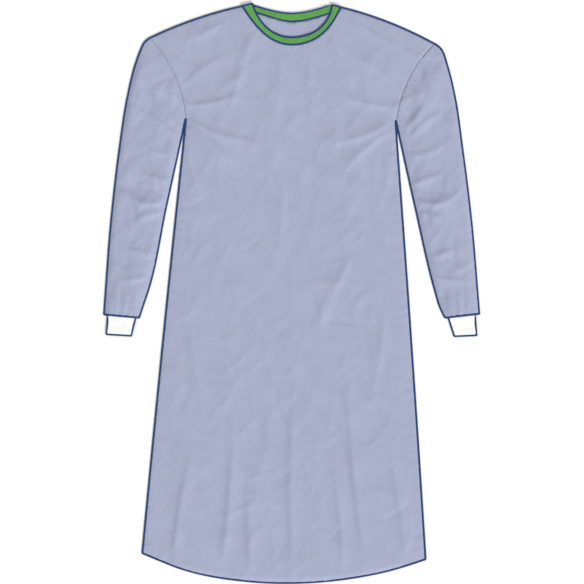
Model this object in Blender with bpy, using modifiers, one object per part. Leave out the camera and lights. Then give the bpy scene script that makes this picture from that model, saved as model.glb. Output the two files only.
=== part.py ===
"""A surgical gown laid flat on its back, at its real size in metres.

The gown rests on the plane z = 0 with its front up. +Y runs from the hem to the neck and
+X points to the wearer's left; left and right in the names are the wearer's. The origin is
on the resting plane, under the middle of the outline.

The panels lie on each other: the outer back, the inner back that laps over it, and the
front. The sleeves and cuffs are flattened tubes, and the neckband is one strip of tape
that folds over at each shoulder.
"""

from math import cos, pi, radians, sin
from types import SimpleNamespace

import bmesh
import bpy
import numpy as np

# Walls and gaps
CLOTH = 0.0012  # nonwoven cloth of the panels and sleeves
KNIT = 0.0010  # rib knit of the cuffs
TAPE = 0.0014  # folded tape of the neckband
GAP = 0.0003  # between layers that lie on each other
SEAM_GAP = 0.0004  # between the edges of two pieces that are sewn together
CORNER_GAP = 0.0016  # from the neckband's fold to the panels' corner at the shoulder

# Outline of each side: (x, y) of the few points that set its shape
LEFT = SimpleNamespace(
    fold_inner=(0.0885, 0.6318),  # the neckband's fold at the shoulder, neck side
    fold_outer=(0.1062, 0.6270),  # and cloth side
    tip=(0.3120, 0.5495),  # shoulder tip, where the armhole seam starts
    overarm=[
        (0.3225, 0.5432), (0.3325, 0.5300), (0.3390, 0.5105),
        (0.3466, 0.4842), (0.3586, 0.4316), (0.3740, 0.3263), (0.3937, 0.1683),
    ],
    wrist_outer=(0.4120, -0.0445),
    wrist_inner=(0.3356, -0.0532),
    underarm=[(0.2704, 0.1895), (0.3140, 0.0050), (0.3245, -0.0300)],
    armpit=(0.2281, 0.3790),
    hem_corner=(0.2942, -0.5829),
    shoulder_bow=0.0070,
    cuff_start=[(0.3398, -0.0420), (0.4020, -0.0400)],  # inside the sleeve: inner, outer edge
    cuff_end=[(0.3564, -0.0938), (0.4058, -0.0916)],
    scoop_handles=[(0.0940, 0.6000), (0.0660, 0.5466)],  # of the neckband's outer edge
    scoop_inner_handles=[(0.0840, 0.5970), (0.0560, 0.5620)],
    nape_edge=[(0.0830, 0.6315), (0.0550, 0.6230), (0.0280, 0.6147)],  # back band, neck side
    nape_seam=[(0.0840, 0.6155), (0.0600, 0.6085), (0.0280, 0.5973)],  # and cloth side
    sign=1,
)
RIGHT = SimpleNamespace(
    fold_inner=(-0.0862, 0.6341),
    fold_outer=(-0.1072, 0.6296),
    tip=(-0.3110, 0.5620),
    overarm=[
        (-0.3225, 0.5530), (-0.3312, 0.5368), (-0.3411, 0.5105),
        (-0.3608, 0.4316), (-0.3773, 0.3263), (-0.3959, 0.1683),
    ],
    wrist_outer=(-0.4124, -0.0460),
    wrist_inner=(-0.3345, -0.0532),
    underarm=[(-0.2750, 0.1900), (-0.3150, 0.0050), (-0.3245, -0.0230)],
    armpit=(-0.2325, 0.3833),
    hem_corner=(-0.3284, -0.5697),
    shoulder_bow=0.0060,
    cuff_start=[(-0.3393, -0.0420), (-0.4030, -0.0400)],
    cuff_end=[(-0.3520, -0.0927), (-0.4069, -0.0894)],
    scoop_handles=[(-0.0880, 0.6000), (-0.0550, 0.5466)],
    scoop_inner_handles=[(-0.0740, 0.5970), (-0.0450, 0.5620)],
    nape_edge=[(-0.0830, 0.6315), (-0.0500, 0.6220), (-0.0250, 0.6147)],
    nape_seam=[(-0.0840, 0.6185), (-0.0600, 0.6130), (-0.0250, 0.5973)],
    sign=-1,
)
SCOOP_BOTTOM = (-0.0010, 0.5466)  # lowest point of the front neckband, cloth side
SCOOP_INNER_BOTTOM = (-0.0010, 0.5620)
NAPE_MIDDLE = (0.0, 0.6147)  # middle of the back neckband, neck side
NAPE_SEAM_MIDDLE = (0.0, 0.5973)
HEM = [(-0.2325, -0.6070), (-0.0855, -0.6322), (0.1075, -0.6275), (0.2281, -0.6040)]
SIDE_BOW = 0.0015
BACK_HEM_SHORTER = 0.0040
BACK_SIDE_INSET = 0.0008
FREE_EDGE_NECK_X = 0.0800  # each back's free edge, past the middle, at the neck
FREE_EDGE_HEM_X = 0.1500  # and at the hem
ARMHOLE_BOW = 0.0160
CORNER_DROP = 0.0010  # how far the back band's turn bends below its end
CORNER_NARROWS = 0.96  # and how far in, as a share of the fold's x
BOW_REACH = 0.35  # share of the sleeve over which its cross lines straighten

# Heights over the resting plane
OVER_BACK = CLOTH + GAP
FRONT_LEVEL = 2 * OVER_BACK + 0.0004
BAND_LOW = TAPE / 2 + 0.00005  # middle of the tape where it lies on the resting plane
BAND_LAPPED = BAND_LOW + TAPE + GAP
BAND_HIGH = FRONT_LEVEL + TAPE / 2
LIFT_KEEP = 0.0550  # how far past the lap the inner back stays lifted
LIFT_FADE = 0.0500
SEAM_HEIGHT = 2 * CLOTH + GAP  # of a sleeve at its armhole
SLEEVE_HEIGHT = 0.0054
SLEEVE_CROWN = 0.0018
CUFF_HEIGHT = 0.0034
CUFF_HEIGHT_INSIDE = 2 * KNIT + 0.0004
CUFF_CROWN = 0.0006

# Where those heights change, as shares of the piece
SLEEVE_RISE = 0.15  # from the armhole to the sleeve's full height
CROWN_RISE = 0.30
SLEEVE_FOLDS_START = 0.10
CUFF_SHARES = (0, 0.24, 0.42, 0.6, 0.8, 1)  # stations, from inside the sleeve to the free end
CUFF_DROP_START = 0.26  # where it starts to come down out of the sleeve
CUFF_DROP = 0.34  # and over what share
FRONT_SIDE_RISE = 0.16
FRONT_SHOULDER_RISE = 0.08
FRONT_FOLD_SIDES = 0.07
FRONT_FOLD_TOP = 0.10

# Soft folds: (root, tip, half width, height). Each is full at its root and dies out at its tip.
FRONT_FOLDS = [
    ((-0.212, -0.640), (-0.150, -0.080), 0.030, 0.0030),
    ((-0.070, -0.640), (-0.085, -0.200), 0.026, 0.0024),
    ((0.060, -0.640), (0.040, 0.020), 0.030, 0.0032),
    ((0.198, -0.640), (0.135, -0.160), 0.028, 0.0028),
    ((-0.250, 0.372), (-0.050, 0.215), 0.022, 0.0030),
    ((0.245, 0.368), (0.075, 0.250), 0.022, 0.0030),
    ((-0.290, 0.500), (-0.130, 0.360), 0.024, 0.0022),
    ((0.290, 0.490), (0.120, 0.385), 0.024, 0.0022),
]
SLEEVE_FOLDS = [
    ((0.255, 0.270), (0.345, 0.345), 0.018, 0.0022),
    ((0.285, 0.120), (0.385, 0.175), 0.016, 0.0024),
    ((0.298, 0.062), (0.385, 0.040), 0.016, 0.0022),
    ((0.350, -0.060), (0.345, 0.050), 0.012, 0.0012),
    ((0.392, -0.060), (0.385, 0.030), 0.012, 0.0012),
]

# Pieces along each stretch of an outline
ARMHOLE_PIECES = 6
SIDE_PIECES = 20
BACK_SIDE_PIECES = 9
SHOULDER_PIECES = 5
SCOOP_PIECES = 14
NAPE_PIECES = 4  # in each half
CORNER_PIECES = 3
FOLD_PIECES = 4
SLEEVE_STATIONS = 35
STATION_CROWDING = 1.25  # crowds a sleeve's stations towards its shoulder
CUFF_PIECES = 6
FINE = 24  # of each stretch of a smooth curve, before it is spaced out again

COLOURS = {  # sRGB
    "cloth": (169, 175, 201),
    "tape": (95, 164, 80),
    "knit": (250, 250, 247),
}


# Curves in the plane


def bezier(start, handle_1, handle_2, end, pieces):
    t = np.linspace(0, 1, pieces + 1)[:, None]
    points = [np.array(p, float) for p in (start, handle_1, handle_2, end)]
    weights = ((1 - t) ** 3, 3 * t * (1 - t) ** 2, 3 * t**2 * (1 - t), t**3)
    return sum(w * p for w, p in zip(weights, points))


def smooth(points):
    """A smooth curve through the points."""
    knots = np.array(points, float)
    steps = np.linalg.norm(np.diff(knots, axis=0), axis=1)
    slopes = np.gradient(knots, np.concatenate([[0.0], np.cumsum(steps)]), axis=0)
    t = np.linspace(0, 1, FINE, endpoint=False)[:, None]
    stretches = []
    for a, b, slope_a, slope_b, step in zip(knots, knots[1:], slopes, slopes[1:], steps):
        stretches.append(
            (2 * t**3 - 3 * t**2 + 1) * a + (t**3 - 2 * t**2 + t) * step * slope_a
            + (3 * t**2 - 2 * t**3) * b + (t**3 - t**2) * step * slope_b
        )
    return np.vstack([*stretches, knots[-1:]])


def arc(start, end, bow, pieces):
    """A circular arc that bows to the left of the way from start to end."""
    start, end = np.array(start, float), np.array(end, float)
    half = np.linalg.norm(end - start) / 2
    radius = (half**2 + bow**2) / (2 * bow)
    along = (end - start) / (2 * half)
    left = np.array([-along[1], along[0]])
    centre = (start + end) / 2 + left * (bow - radius)
    sweep = np.arcsin(half / abs(radius))
    turns = np.linspace(-sweep, sweep, pieces + 1)[:, None]
    side = np.sign(bow)
    return centre + abs(radius) * (np.sin(turns) * along + side * np.cos(turns) * left)


def spaced(curve, shares):
    """The points at these shares of a polyline's length."""
    steps = np.linalg.norm(np.diff(curve, axis=0), axis=1)
    length = np.concatenate([[0.0], np.cumsum(steps)])
    at = np.asarray(shares) * length[-1]
    return np.column_stack([np.interp(at, length, axis) for axis in curve.T])


def moved_left(curve, distance):
    """The polyline moved to the left of its direction."""
    along = np.gradient(curve, axis=0)
    along /= np.linalg.norm(along, axis=1)[:, None]
    return curve + distance * np.column_stack([-along[:, 1], along[:, 0]])


def ramp(x):
    """0 below 0, 1 above 1, smooth between."""
    x = np.clip(x, 0.0, 1.0)
    return x * x * (3 - 2 * x)


# Outlines of the pieces


def neck_corner(side):
    """(corner of the panels at the neck, unit vector out over the neckband's fold)."""
    inner, outer = np.array(side.fold_inner), np.array(side.fold_outer)
    along = (outer - inner) / np.linalg.norm(outer - inner)
    over = np.array([-along[1], along[0]]) * side.sign
    bend = (BAND_HIGH - BAND_LOW + TAPE) / 2
    return outer + over * bend + along * CORNER_GAP, over


def cross_line(side, share):
    """The points of a sleeve from underarm to overarm, at a share of its length."""
    underarm = smooth([side.armpit, *side.underarm, side.wrist_inner])
    overarm = smooth([side.tip, *side.overarm, side.wrist_outer])
    start, end = spaced(underarm, [share])[0], spaced(overarm, [share])[0]
    bow = ARMHOLE_BOW * max(0.0, 1 - share / BOW_REACH) ** 2
    across = (end - start) / np.linalg.norm(end - start)
    to_body = np.array([-across[1], across[0]]) * side.sign
    s = np.linspace(0, 1, ARMHOLE_PIECES + 1)[:, None]
    return start + (end - start) * s + to_body * bow * 4 * s * (1 - s)


def armhole(side):
    """The panels' edge along the armhole, from the armpit to the shoulder tip."""
    seam = cross_line(side, 0)
    chord = seam[-1] - seam[0]
    to_body = np.array([-chord[1], chord[0]]) * side.sign / np.linalg.norm(chord)
    return seam + to_body * SEAM_GAP


def side_edge(side, start, pieces):
    """The side seam from its hem corner up, and then the armhole."""
    hole = armhole(side)
    seam = arc(start, hole[0], -SIDE_BOW * side.sign, pieces)
    return np.vstack([seam[:-1], hole])


def shoulder(side, pieces):
    """The shoulder edge, from the tip to the neck."""
    corner = neck_corner(side)[0]
    return arc(armhole(side)[-1], corner, side.shoulder_bow * -side.sign, pieces)


def hem():
    """The hem from the right corner to the left."""
    return smooth([RIGHT.hem_corner, *HEM, LEFT.hem_corner])


def at_x(curve, xs):
    """The points of a curve that runs along +X, at these x."""
    return np.column_stack([xs, np.interp(xs, curve[:, 0], curve[:, 1])])


def scoop(side_handles, bottom, start):
    """Half of the front neckband's edge, from its shoulder fold to its lowest point."""
    return bezier(start, *side_handles, bottom, SCOOP_PIECES // 2)


def front_band_edges():
    """(neck side, cloth side) of the front neckband, from the right shoulder to the left."""
    inner = [scoop(s.scoop_inner_handles, SCOOP_INNER_BOTTOM, s.fold_inner) for s in (RIGHT, LEFT)]
    outer = [scoop(s.scoop_handles, SCOOP_BOTTOM, s.fold_outer) for s in (RIGHT, LEFT)]
    return [np.vstack([right, left[-2::-1]]) for right, left in (inner, outer)]


def band_corner(side):
    """(neck side, cloth side) of the back neckband's turn, from the shoulder fold to the nape."""
    t = np.linspace(0, 1, CORNER_PIECES + 1)[:-1, None]
    inner = np.array(side.fold_inner) * (1 - t) + np.array(side.nape_edge[0]) * t
    start, end = np.array(side.fold_outer), np.array(side.nape_seam[0])
    bend = np.array([start[0] * CORNER_NARROWS, end[1] - CORNER_DROP])
    outer = start * (1 - t) ** 2 + bend * 2 * t * (1 - t) + end * t**2
    return inner, outer


def back_band_edges():
    """(neck side, cloth side) of the back neckband between its turns, from right to left."""
    edges = []
    for name, middle in (("nape_edge", NAPE_MIDDLE), ("nape_seam", NAPE_SEAM_MIDDLE)):
        right, left = (bezier(*getattr(s, name), middle, NAPE_PIECES) for s in (RIGHT, LEFT))
        edges.append(np.vstack([right, left[-2::-1]]))
    return edges


# Surfaces


def coons(bottom, top, left, right):
    """A grid of points between four edges: rows run from left to right, from bottom to top."""
    u = ((top[:, 0] - top[0, 0]) / (top[-1, 0] - top[0, 0]))[None, :, None]
    rise = (left[:, 1] + right[:, 1]) / 2
    v = ((rise - rise[0]) / (rise[-1] - rise[0]))[:, None, None]
    corners = (
        (1 - u) * (1 - v) * bottom[0] + u * (1 - v) * bottom[-1]
        + (1 - u) * v * top[0] + u * v * top[-1]
    )
    between = (1 - v) * bottom[None] + v * top[None] + (1 - u) * left[:, None] + u * right[:, None]
    return between - corners, u[..., 0], v[..., 0]


def fold_height(x, y, folds):
    total = np.zeros_like(x)
    for root, tip, half_width, height in folds:
        along = np.array(tip) - np.array(root)
        length = np.linalg.norm(along)
        along /= length
        dx, dy = x - root[0], y - root[1]
        run = (dx * along[0] + dy * along[1]) / length
        away = dx * along[1] - dy * along[0]
        total += height * np.exp(-((away / half_width) ** 2)) * ramp(1 - run)
    return total


def lift(x, y):
    """How high the inner back lies: on the outer back, and down to the plane beyond it."""
    share = (FREE_EDGE_NECK_Y - y) / (FREE_EDGE_NECK_Y - FREE_EDGE_HEM_Y)
    edge = FREE_EDGE_NECK_X + (FREE_EDGE_HEM_X - FREE_EDGE_NECK_X) * share
    return OVER_BACK * (1 - ramp((x - edge - LIFT_KEEP) / LIFT_FADE))


def back_hem(x):
    return at_x(hem(), x) + [0, BACK_HEM_SHORTER]


FREE_EDGE_HEM_Y = back_hem(np.array([FREE_EDGE_HEM_X]))[0, 1]
FREE_EDGE_NECK_Y = LEFT.nape_seam[0][1] - SEAM_GAP


def front_surface():
    """The underside of the front panel."""
    outer = front_band_edges()[1]
    top = np.vstack([
        shoulder(RIGHT, SHOULDER_PIECES),
        moved_left(outer, -SEAM_GAP)[1:-1],
        shoulder(LEFT, SHOULDER_PIECES)[::-1],
    ])
    right = side_edge(RIGHT, RIGHT.hem_corner, SIDE_PIECES)
    left = side_edge(LEFT, LEFT.hem_corner, SIDE_PIECES)
    shares = (top[:, 0] - top[0, 0]) / (top[-1, 0] - top[0, 0])
    edge = hem()
    bottom = at_x(edge, edge[0, 0] + shares * (edge[-1, 0] - edge[0, 0]))
    grid, u, v = coons(bottom, top, right, left)
    x, y = grid[..., 0], grid[..., 1]

    from_side = ramp(np.minimum(u, 1 - u) / FRONT_SIDE_RISE)
    is_shoulder = np.zeros(len(top))
    is_shoulder[:SHOULDER_PIECES] = is_shoulder[-SHOULDER_PIECES:] = 1
    is_shoulder[[SHOULDER_PIECES, -SHOULDER_PIECES - 1]] = 0.5
    from_shoulder = 1 - is_shoulder * (1 - ramp((1 - v) / FRONT_SHOULDER_RISE))
    free = from_side * from_shoulder
    rim = OVER_BACK + np.where(x > 0, lift(x, y), 0)
    z = rim + (FRONT_LEVEL - rim) * free
    folds = fold_height(x, y, FRONT_FOLDS)
    z += folds * ramp(np.minimum(u, 1 - u) / FRONT_FOLD_SIDES) * ramp((1 - v) / FRONT_FOLD_TOP)
    return np.dstack([grid, z])


def back_surface(side):
    """The underside of one back panel, from its side seam to its free edge past the middle."""
    outer = np.vstack([band_corner(side)[1], [side.nape_seam[0]]])
    nape = back_band_edges()[1][::-side.sign]
    seam = moved_left(np.vstack([outer[:-1], nape]), SEAM_GAP * side.sign)
    top = np.vstack([shoulder(side, SHOULDER_PIECES), seam[1:]])
    corner = back_hem(np.array([side.hem_corner[0] - side.sign * BACK_SIDE_INSET]))[0]
    outer_edge = side_edge(side, corner, BACK_SIDE_PIECES)
    free_hem = back_hem(np.array([-side.sign * FREE_EDGE_HEM_X]))[0]
    rows = (outer_edge[:, 1] - outer_edge[0, 1]) / (outer_edge[-1, 1] - outer_edge[0, 1])
    free_edge = free_hem + rows[:, None] * (top[-1] - free_hem)
    shares = (top[:, 0] - top[0, 0]) / (top[-1, 0] - top[0, 0])
    bottom = back_hem(corner[0] + shares * (free_hem[0] - corner[0]))
    grid = coons(bottom, top, outer_edge, free_edge)[0]
    x, y = grid[..., 0], grid[..., 1]
    z = lift(x, y) if side is LEFT else np.zeros_like(x)
    return np.dstack([grid, z])


def neckband_surface():
    """The middle of the tape, from the outer back's free end round to the inner back's."""
    front_inner, front_outer = front_band_edges()
    back_inner, back_outer = back_band_edges()
    inner, outer, height = [], [], []

    def add(edge_in, edge_out, heights):
        inner.extend(edge_in)
        outer.extend(edge_out)
        height.extend(np.broadcast_to(heights, len(edge_in)))

    def add_fold(side, turns):
        over = neck_corner(side)[1]
        radius, middle = (BAND_HIGH - BAND_LOW) / 2, (BAND_HIGH + BAND_LOW) / 2
        for turn in turns:
            reach = over * radius * cos(turn)
            add([side.fold_inner + reach], [side.fold_outer + reach], middle + radius * sin(turn))

    turns = np.linspace(-pi / 2, pi / 2, FOLD_PIECES + 1)
    add(back_inner[::-1], back_outer[::-1], BAND_LOW)
    corner = band_corner(RIGHT)
    add(corner[0][:0:-1], corner[1][:0:-1], BAND_LOW)
    add_fold(RIGHT, turns)
    add(front_inner[1:-1], front_outer[1:-1], BAND_HIGH)
    add_fold(LEFT, turns[::-1])
    corner = band_corner(LEFT)
    step_up = np.linspace(BAND_LOW, BAND_LAPPED, CORNER_PIECES + 1)[1:-1]
    add(corner[0][1:], corner[1][1:], step_up)
    add(back_inner[::-1], back_outer[::-1], BAND_LAPPED)
    height = np.array(height)[:, None]
    return np.stack([np.hstack([inner, height]), np.hstack([outer, height])])


# Flattened tubes


def tube_ring(line, base, height, crown, wall):
    """One ring of a flattened tube with round ends, drawn in by the wall.

    line runs across the tube in the plane; base and height are those of the tube's outside,
    and crown is how much higher its top stands at each point of the line.
    """
    radius = height / 2
    first = (line[1] - line[0]) / np.linalg.norm(line[1] - line[0])
    last = (line[-1] - line[-2]) / np.linalg.norm(line[-1] - line[-2])
    line = line.copy()
    line[0] += first * radius
    line[-1] -= last * radius
    bottom = np.column_stack([line, np.full(len(line), base + wall)])
    top = np.column_stack([line, base + height - wall + crown])[::-1]
    reach, middle = radius - wall, base + radius
    bend = [radians(turn) for turn in (-45, 0, 45)]
    end = [[*(line[-1] + last * cos(a) * reach), middle + sin(a) * reach] for a in bend]
    start = [[*(line[0] - first * cos(a) * reach), middle + sin(a) * reach] for a in bend[::-1]]
    return np.vstack([bottom, end, top, start])


def sleeve_rings(side):
    """(outer, inner) rings of a sleeve, from the armhole to the sleeve's hem."""
    rings = ([], [])
    s = np.linspace(0, 1, ARMHOLE_PIECES + 1)
    for share in np.linspace(0, 1, SLEEVE_STATIONS) ** STATION_CROWDING:
        line = cross_line(side, share)
        height = SEAM_HEIGHT + (SLEEVE_HEIGHT - SEAM_HEIGHT) * ramp(share / SLEEVE_RISE)
        folds = fold_height(line[:, 0] * side.sign, line[:, 1], SLEEVE_FOLDS)
        crown = SLEEVE_CROWN * ramp(share / CROWN_RISE) + folds * ramp(share / SLEEVE_FOLDS_START)
        crown *= np.sin(pi * s)
        for ring, wall in zip(rings, (0, CLOTH)):
            ring.append(tube_ring(line, 0, height, crown, wall))
    return [np.array(ring) for ring in rings]


def cuff_rings(side):
    """(outer, inner) rings of a cuff, from inside the sleeve to its free end."""
    start, end = np.array(side.cuff_start), np.array(side.cuff_end)
    rings = ([], [])
    s = np.linspace(0, 1, CUFF_PIECES + 1)[:, None]
    for share in CUFF_SHARES:
        inner, outer = start + (end - start) * share
        line = inner + (outer - inner) * s
        down = ramp((share - CUFF_DROP_START) / CUFF_DROP)
        base = (CLOTH + GAP) * (1 - down)
        height = CUFF_HEIGHT_INSIDE + (CUFF_HEIGHT - CUFF_HEIGHT_INSIDE) * down
        crown = CUFF_CROWN * down * np.sin(pi * s[:, 0])
        for ring, wall in zip(rings, (0, KNIT)):
            ring.append(tube_ring(line, base, height, crown, wall))
    return [np.array(ring) for ring in rings]


# Objects


def linear(channel):
    channel /= 255
    return channel / 12.92 if channel <= 0.04045 else ((channel + 0.055) / 1.055) ** 2.4


def material(name, roughness):
    made = bpy.data.materials.new(name)
    made.use_nodes = True
    shader = made.node_tree.nodes["Principled BSDF"]
    shader.inputs["Base Color"].default_value = (*map(linear, COLOURS[name]), 1)
    shader.inputs["Roughness"].default_value = roughness
    shader.inputs["Metallic"].default_value = 0
    return made


def add_object(name, points, faces, finish):
    mesh = bpy.data.meshes.new(name)
    mesh.from_pydata([tuple(map(float, p)) for p in points], [], faces)
    mesh.materials.append(finish)
    mesh.shade_smooth()
    mesh.set_sharp_from_angle(angle=radians(40))
    made = bpy.data.objects.new(name, mesh)
    gown.objects.link(made)
    return made


def grid_faces(rows, columns):
    return [
        (r * columns + c, r * columns + c + 1, (r + 1) * columns + c + 1, (r + 1) * columns + c)
        for r in range(rows - 1)
        for c in range(columns - 1)
    ]


def add_shell(name, grid, finish, wall, offset, even=False):
    """An open surface given its thickness by Solidify."""
    rows, columns = grid.shape[:2]
    made = add_object(name, grid.reshape(-1, 3), grid_faces(rows, columns), finish)
    if made.data.polygons[0].normal.z < 0:
        made.data.flip_normals()
    solidify = made.modifiers.new("thickness", "SOLIDIFY")
    solidify.thickness = wall
    solidify.offset = offset
    solidify.use_even_offset = even
    return made


def add_tube(name, rings, finish):
    """A tube open at both ends, lofted between its outer and its inner rings."""
    outer, inner = rings
    count, around = outer.shape[:2]
    shift = count * around
    faces = []
    for r in range(count - 1):
        for c in range(around):
            a, b = r * around + c, r * around + (c + 1) % around
            faces.append((a, b, b + around, a + around))
            faces.append((a + shift + around, b + shift + around, b + shift, a + shift))
    for first in (0, (count - 1) * around):
        for c in range(around):
            a, b = first + c, first + (c + 1) % around
            faces.append((a, a + shift, b + shift, b))
    made = add_object(name, np.vstack([outer.reshape(-1, 3), inner.reshape(-1, 3)]), faces, finish)
    shell = bmesh.new()
    shell.from_mesh(made.data)
    bmesh.ops.recalc_face_normals(shell, faces=shell.faces)
    shell.to_mesh(made.data)
    shell.free()
    return made


for old in list(bpy.data.objects):
    bpy.data.objects.remove(old)
gown = bpy.data.collections.new("surgical_gown")
bpy.context.scene.collection.children.link(gown)

cloth = material("cloth", 0.75)
tape = material("tape", 0.8)
knit = material("knit", 0.9)

add_shell("front", front_surface(), cloth, CLOTH, 1)
add_shell("back_right", back_surface(RIGHT), cloth, CLOTH, 1)
add_shell("back_left", back_surface(LEFT), cloth, CLOTH, 1)
add_shell("neckband", neckband_surface(), tape, TAPE, 0, even=True)
for wearer_side, side_name in ((LEFT, "left"), (RIGHT, "right")):
    add_tube(f"sleeve_{side_name}", sleeve_rings(wearer_side), cloth)
    add_tube(f"cuff_{side_name}", cuff_rings(wearer_side), knit)
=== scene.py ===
"""Looks of a surgical gown laid flat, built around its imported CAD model.

The frame has +Y from the hem to the neck, +X to the wearer's left and +Z up out of the
front, in metres. Every outline comes from the CAD nodes: a panel's edge is the edge of its
node's upper side, smoothed between its corners, and its height is the node's own height
with finer creases added. Left and right in the names are the wearer's. A cloth's plan is
its points in the plane, and its levels or heights are those of its underside.
"""

from math import pi, radians

import bmesh
import bpy
import numpy as np
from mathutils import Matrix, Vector
from mathutils.bvhtree import BVHTree
from mathutils.geometry import delaunay_2d_cdt
from mathutils.kdtree import KDTree
from mathutils.noise import noise as noise_value
from mathutils.noise import noise_vector, voronoi


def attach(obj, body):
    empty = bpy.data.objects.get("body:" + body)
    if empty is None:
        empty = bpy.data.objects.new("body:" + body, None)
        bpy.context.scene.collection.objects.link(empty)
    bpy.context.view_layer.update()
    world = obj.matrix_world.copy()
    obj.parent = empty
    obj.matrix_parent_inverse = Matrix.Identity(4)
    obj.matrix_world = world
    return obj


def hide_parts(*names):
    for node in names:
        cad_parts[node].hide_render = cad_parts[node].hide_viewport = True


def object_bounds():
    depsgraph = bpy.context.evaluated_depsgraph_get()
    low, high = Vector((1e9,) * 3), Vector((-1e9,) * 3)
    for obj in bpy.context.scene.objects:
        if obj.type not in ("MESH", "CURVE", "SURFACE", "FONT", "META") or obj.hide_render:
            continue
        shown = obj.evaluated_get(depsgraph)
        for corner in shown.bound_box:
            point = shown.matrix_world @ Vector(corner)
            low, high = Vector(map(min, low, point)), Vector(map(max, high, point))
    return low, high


# Walls of the CAD solids, and of the cloth that is shown
CAD_WALL = 0.0012
CLOTH = 0.0005
TAPE = 0.0012

# Triangle sizes
FRONT_CELL = 0.0046
SLEEVE_CELL = 0.0046
BACK_CELL = 0.0065
OUTLINE_STEP = 0.0040
EDGE_CLEAR = 0.6  # least distance of an inner point from the outline, in cells

# Serged edges: navy thread wrapped over the two layers that it joins
SERGE_WIDTH = 0.0050
SERGE_HEIGHT = 0.0026
SERGE_LEVEL = 0.00135  # middle of the thread over the plane
SERGE_OVERHANG = 0.0018  # how far it stands out past the cloth
LOW_SERGE_HEIGHT = 0.0012  # under the sleeve's hem
CORNER_REACH = 0.0015  # how far two serged edges cross at a corner
BAND_SERGE_WIDTH = 0.0050
BAND_SERGE_HEIGHT = 0.0020
BAND_SERGE_OVERHANG = 0.0024
TO_BAND = 0.0040  # how far the shoulders' serging runs on to the band's fold
THREAD_PITCH = 0.0018
THREAD_RELIEF = 0.18  # depth of the grooves between wraps, as a share of the half size
THREAD_SQUARENESS = 0.7  # 1 is an ellipse, and 0 a box
THREAD_STEP = THREAD_PITCH / 4  # between the rings of a serged edge
THREAD_TIP = 0.02  # size of its end, as a share of its full size
AROUND = 8  # points round it

EDGE_LEVEL = 0.0009  # underside of an upper layer where it meets its serged edge
EDGE_FALL = 0.0110  # width over which it comes down to that level

SIDES = {"left": 1, "right": -1}
OUTER_BACK = "right"

# How the CAD nodes are read
SAME_POINT = 2e-5  # vertices that the export split are closer than this
UPWARD = 0.2  # least upward part of the normal of a face of an upper side


# Points and curves


def nodes_mesh(node):
    """A node's mesh with the vertices that the export split joined again."""
    shape = bmesh.new()
    shape.from_mesh(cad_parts[node].data)
    bmesh.ops.remove_doubles(shape, verts=shape.verts, dist=SAME_POINT)
    shape.normal_update()
    return shape


def upper_loops(node):
    """Edges of the node's upward patches, counter-clockwise, from the highest patch down."""
    shape = nodes_mesh(node)
    upward = {face for face in shape.faces if face.normal.z > UPWARD}
    loops = []
    while upward:
        patch = {upward.pop()}
        found = list(patch)
        while found:
            for edge in found.pop().edges:
                fresh = [face for face in edge.link_faces if face in upward]
                upward.difference_update(fresh)
                patch.update(fresh)
                found.extend(fresh)
        after = {}
        for face in patch:
            for corner in face.loops:
                if len(patch.intersection(corner.edge.link_faces)) == 1:
                    after[corner.vert] = corner.link_loop_next.vert
        loop = [next(iter(after))]
        while after[loop[-1]] is not loop[0]:
            loop.append(after[loop[-1]])
        loops.append(np.array([vertex.co for vertex in loop]))
    shape.free()
    return sorted(loops, key=lambda points: -points[:, 2].mean())


def extreme(loop, x, y):
    """Index of the point that lies furthest in a direction."""
    return int(np.argmax(loop[:, 0] * x + loop[:, 1] * y))


def closest(loop, point):
    return int(np.argmin(np.linalg.norm(loop[:, :2] - point[:2], axis=1)))


def stretch(loop, start, end):
    """The points of a loop from one index round to another."""
    return loop[np.arange(start, end + 1 if end > start else end + 1 + len(loop)) % len(loop)]


def lengths(curve):
    steps = np.linalg.norm(np.diff(curve, axis=0), axis=1)
    return np.concatenate([[0.0], np.cumsum(steps)])


def smooth_curve(points, step=None, count=None):
    """A smooth curve through the points, at an even step or with a number of points."""
    knots = lengths(points)
    slopes = np.gradient(points, knots, axis=0) if len(points) > 2 else None
    count = count or max(2, round(knots[-1] / step) + 1)
    at = np.linspace(0, knots[-1], count)
    if slopes is None:
        return points[0] + (points[1] - points[0]) * (at / knots[-1])[:, None]
    i = np.clip(np.searchsorted(knots, at, side="right") - 1, 0, len(points) - 2)
    span = (knots[i + 1] - knots[i])[:, None]
    t = (at - knots[i])[:, None] / span
    return (
        (2 * t**3 - 3 * t**2 + 1) * points[i]
        + (t**3 - 2 * t**2 + t) * span * slopes[i]
        + (3 * t**2 - 2 * t**3) * points[i + 1]
        + (t**3 - t**2) * span * slopes[i + 1]
    )


def plan_left(curve):
    """Unit vectors in the plane, to the left of a curve's direction."""
    along = np.gradient(curve[:, :2], axis=0)
    along /= np.linalg.norm(along, axis=1)[:, None]
    return np.column_stack([-along[:, 1], along[:, 0], np.zeros(len(curve))])


def ramp(x):
    """0 below 0, 1 above 1, smooth between."""
    x = np.clip(x, 0.0, 1.0)
    return x * x * (3 - 2 * x)


def nearest(points, curve):
    """(distance in the plane, length along the curve) of each point's nearest point."""
    fine = smooth_curve(curve, step=0.001)
    tree = KDTree(len(fine))
    for i, (x, y, _) in enumerate(fine):
        tree.insert((x, y, 0), i)
    tree.balance()
    found = [tree.find((x, y, 0)) for x, y in points[:, :2]]
    along = lengths(fine)
    return np.array([f[2] for f in found]), along[[f[1] for f in found]]


def inside(points, outline):
    """Which points lie within a closed outline in the plane."""
    x, y = points[:, 0], points[:, 1]
    within = np.zeros(len(points), bool)
    for (x1, y1), (x2, y2) in zip(outline, np.roll(outline, -1, axis=0)):
        crosses = (y1 > y) != (y2 > y)
        if crosses.any():
            within ^= crosses & (x < (x2 - x1) * (y - y1) / (y2 - y1 + 1e-12) + x1)
    return within


# Cloth


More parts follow.
